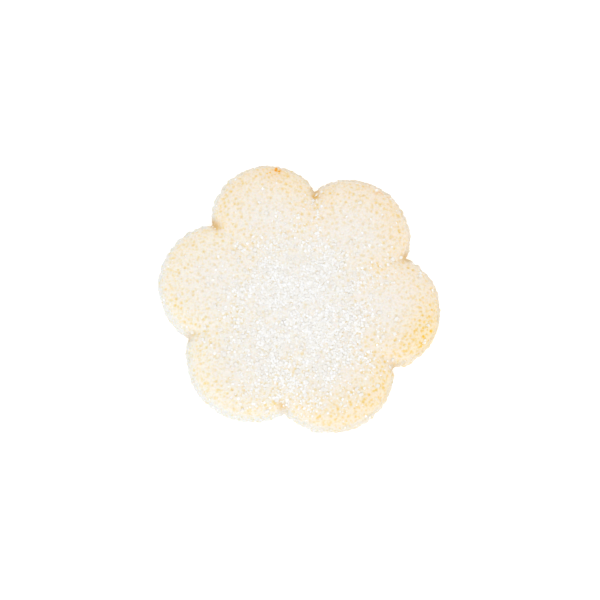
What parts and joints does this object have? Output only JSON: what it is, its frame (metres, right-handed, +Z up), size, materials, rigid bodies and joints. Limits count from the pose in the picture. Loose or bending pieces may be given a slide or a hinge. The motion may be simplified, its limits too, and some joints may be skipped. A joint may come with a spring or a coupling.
{
  "type": "sugar cookie",
  "caption": "Flower-shaped sugar cookie with soft rounded petals, shallow creases, a flat base and coarse sugar on top.",
  "frame": {"origin": "on the flat underside, at the middle of the cookie's box", "axes": "+Z up out of the sugared top, +X across the wider way, +Y towards the top of the picture"},
  "size_m": [0.0708, 0.0678, 0.0084],
  "materials": {
    "baked_dough": "matte",
    "sugar": "gloss"
  },
  "bodies": {
    "root": {"sugar_cookie": "baked_dough"}
  },
  "joints": []
}
